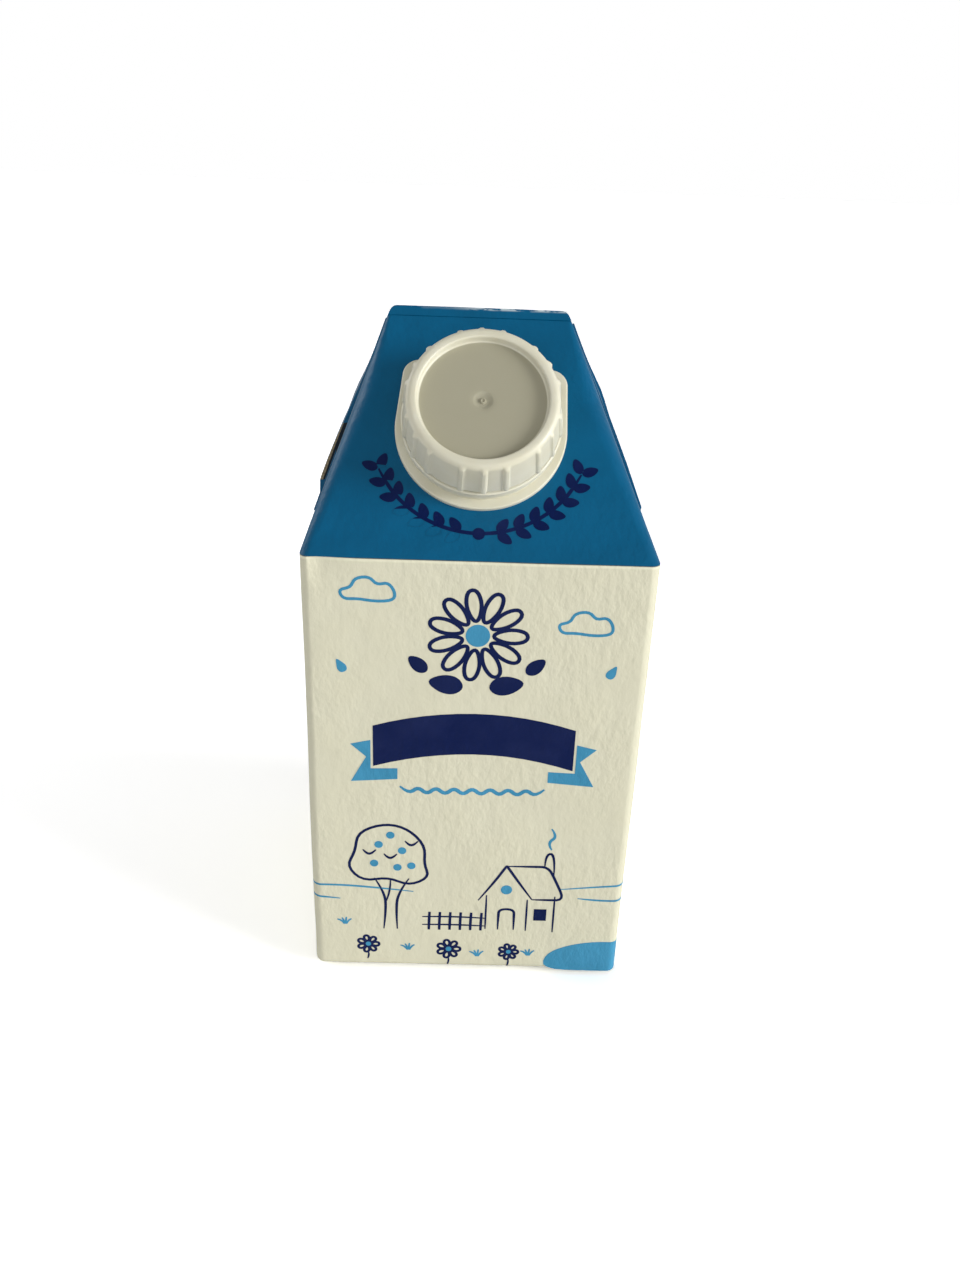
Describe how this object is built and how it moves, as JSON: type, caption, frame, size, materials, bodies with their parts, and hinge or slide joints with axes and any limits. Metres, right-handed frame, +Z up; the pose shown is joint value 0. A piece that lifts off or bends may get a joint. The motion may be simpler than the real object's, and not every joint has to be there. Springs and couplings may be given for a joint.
{
  "type": "cream carton",
  "caption": "Shut half-litre gable-top drink carton with a hipped roof, folded-down ears and a ribbed screw cap on a glued spout; stands on its flat base.",
  "frame": {"origin": "middle of the whole's footprint, on the surface the pack stands on", "axes": "+Z up to the ridge, -Y out of the front panel that carries the closure, +X to the pack's right-hand side seen from the front"},
  "size_m": [0.0714, 0.0704, 0.1408],
  "materials": {
    "printed_board": "satin laminated board printed cream, blue and navy",
    "spout_plastic": "satin moulded, milky",
    "cap_plastic": "satin moulded, milky"
  },
  "bodies": {
    "root": {"carton": "printed_board", "pour_spout": "spout_plastic", "screw_cap": "cap_plastic"}
  },
  "joints": []
}
